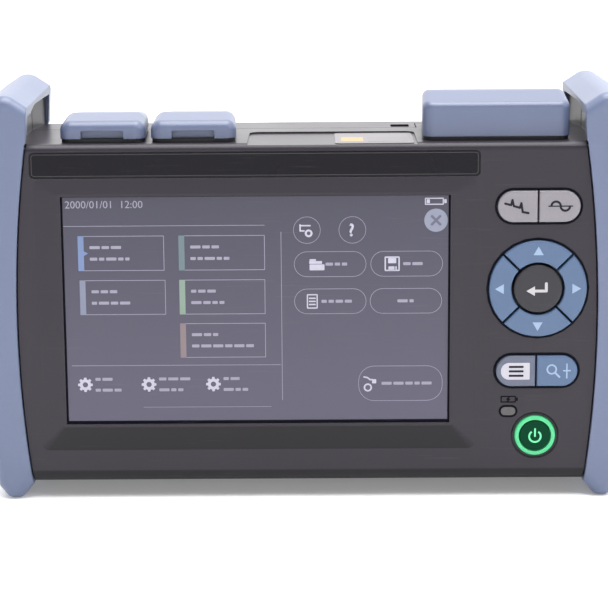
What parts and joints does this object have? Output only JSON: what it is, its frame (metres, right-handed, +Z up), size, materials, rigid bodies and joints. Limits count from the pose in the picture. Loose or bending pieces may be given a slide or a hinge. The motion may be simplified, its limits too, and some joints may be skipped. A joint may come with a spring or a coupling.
{
  "type": "optical time domain reflectometer",
  "caption": "Hand-held optical fibre tester with a touch screen, keypad, rubber side bumpers, hinged port covers on top and a folding stand behind.",
  "frame": {"origin": "on the supporting surface, under the middle of the instrument's bounding box", "axes": "+X to the right of someone facing the screen, +Y from the screen to the back, +Z up"},
  "size_m": [0.1856, 0.056, 0.1177],
  "materials": {
    "case_plastic": "fine matt moulded",
    "seal_rubber": "matt",
    "bumper_rubber": "satin blue-grey",
    "touch_glass": "matt anti-glare",
    "lcd_panel": "anti-glare film in a metal frame",
    "sheet_metal": "plain",
    "plated_brass": "nickel plated",
    "dome_steel": "polished",
    "circuit_board": "solder mask",
    "ring_light": "lit translucent",
    "clear_plastic": "translucent",
    "socket_metal": "plated",
    "adapter_plastic": "satin",
    "adapter_metal": "nickel plated",
    "cast_aluminium": "as cast",
    "black_plastic": "matt",
    "fibre_jacket": "coated fibre",
    "battery_wrap": "shrink sleeve",
    "screw_steel": "black zinc",
    "contact_metal": "gold plated",
    "strip_plastic": "satin inlay",
    "label_foil": "plain foil",
    "warm_key": "satin",
    "menu_key": "satin",
    "blue_key": "satin",
    "dark_key": "satin",
    "power_key": "satin",
    "cover_plastic": "satin blue-grey"
  },
  "bodies": {
    "housing": {"front_case": "case_plastic", "rear_case": "case_plastic", "case_seal": "seal_rubber", "right_bumper": "bumper_rubber", "left_bumper": "bumper_rubber", "touch_panel": "touch_glass", "display_gasket": "seal_rubber", "lcd_module": "lcd_panel", "display_chassis": "sheet_metal", "board_standoffs": "plated_brass", "key_domes": "dome_steel", "key_board": "circuit_board", "power_light_ring": "ring_light", "charge_light_pipe": "clear_plastic", "main_board": "circuit_board", "usb_socket": "socket_metal", "power_socket": "socket_metal", "otdr_port_adapter": "adapter_plastic", "laser_port_adapter": "adapter_metal", "optical_module": "cast_aluminium", "fibre_tray": "black_plastic", "fibre_coil": "fibre_jacket", "battery_pack": "battery_wrap", "battery_door": "case_plastic", "battery_door_screws": "screw_steel", "battery_contacts": "contact_metal", "usb_cover_pin": "screw_steel", "power_socket_cover_pin": "screw_steel", "optical_port_cover_pin": "screw_steel", "kickstand_pin": "screw_steel", "name_strip": "strip_plastic", "label_plate": "label_foil", "case_screws": "screw_steel"},
    "real_time_key": {"real_time_key": "warm_key"},
    "average_key": {"average_key": "warm_key"},
    "menu_key": {"menu_key": "menu_key"},
    "zoom_key": {"zoom_key": "blue_key"},
    "right_key": {"right_key": "blue_key"},
    "up_key": {"up_key": "blue_key"},
    "left_key": {"left_key": "blue_key"},
    "down_key": {"down_key": "blue_key"},
    "enter_key": {"enter_key": "dark_key"},
    "power_key": {"power_key": "power_key"},
    "usb_cover": {"usb_cover": "cover_plastic", "usb_cover_seal": "seal_rubber"},
    "power_socket_cover": {"power_socket_cover": "cover_plastic", "power_socket_cover_seal": "seal_rubber"},
    "optical_port_cover": {"optical_port_cover": "cover_plastic", "optical_port_cover_seal": "seal_rubber"},
    "kickstand": {"kickstand": "case_plastic"}
  },
  "joints": [
    {"name": "real_time_key_press", "type": "slide", "parent": "housing", "child": "real_time_key", "axis": [0, 1, 0], "range_m": [0, 0.0008], "stiffness_N_per_m": 1500},
    {"name": "average_key_press", "type": "slide", "parent": "housing", "child": "average_key", "axis": [0, 1, 0], "range_m": [0, 0.0008], "stiffness_N_per_m": 1500},
    {"name": "menu_key_press", "type": "slide", "parent": "housing", "child": "menu_key", "axis": [0, 1, 0], "range_m": [0, 0.0008], "stiffness_N_per_m": 1500},
    {"name": "zoom_key_press", "type": "slide", "parent": "housing", "child": "zoom_key", "axis": [0, 1, 0], "range_m": [0, 0.0008], "stiffness_N_per_m": 1500},
    {"name": "right_key_press", "type": "slide", "parent": "housing", "child": "right_key", "axis": [0, 1, 0], "range_m": [0, 0.0008], "stiffness_N_per_m": 1500},
    {"name": "up_key_press", "type": "slide", "parent": "housing", "child": "up_key", "axis": [0, 1, 0], "range_m": [0, 0.0008], "stiffness_N_per_m": 1500},
    {"name": "left_key_press", "type": "slide", "parent": "housing", "child": "left_key", "axis": [0, 1, 0], "range_m": [0, 0.0008], "stiffness_N_per_m": 1500},
    {"name": "down_key_press", "type": "slide", "parent": "housing", "child": "down_key", "axis": [0, 1, 0], "range_m": [0, 0.0008], "stiffness_N_per_m": 1500},
    {"name": "enter_key_press", "type": "slide", "parent": "housing", "child": "enter_key", "axis": [0, 1, 0], "range_m": [0, 0.0008], "stiffness_N_per_m": 1500},
    {"name": "power_key_press", "type": "slide", "parent": "housing", "child": "power_key", "axis": [0, 1, 0], "range_m": [0, 0.0008], "stiffness_N_per_m": 1500},
    {"name": "usb_cover_hinge", "type": "hinge", "parent": "housing", "child": "usb_cover", "pos_m": [-0.0573, 0.01455, 0.1046], "axis": [-1, 0, 0], "range_deg": [0, 105]},
    {"name": "power_socket_cover_hinge", "type": "hinge", "parent": "housing", "child": "power_socket_cover", "pos_m": [-0.0317, 0.01455, 0.1046], "axis": [-1, 0, 0], "range_deg": [0, 105]},
    {"name": "optical_port_cover_hinge", "type": "hinge", "parent": "housing", "child": "optical_port_cover", "pos_m": [0.05355, 0.02355, 0.1046], "axis": [-1, 0, 0], "range_deg": [0, 105]},
    {"name": "kickstand_hinge", "type": "hinge", "parent": "housing", "child": "kickstand", "pos_m": [0, 0.0249, 0.077], "axis": [1, 0, 0], "range_deg": [0, 50]}
  ]
}
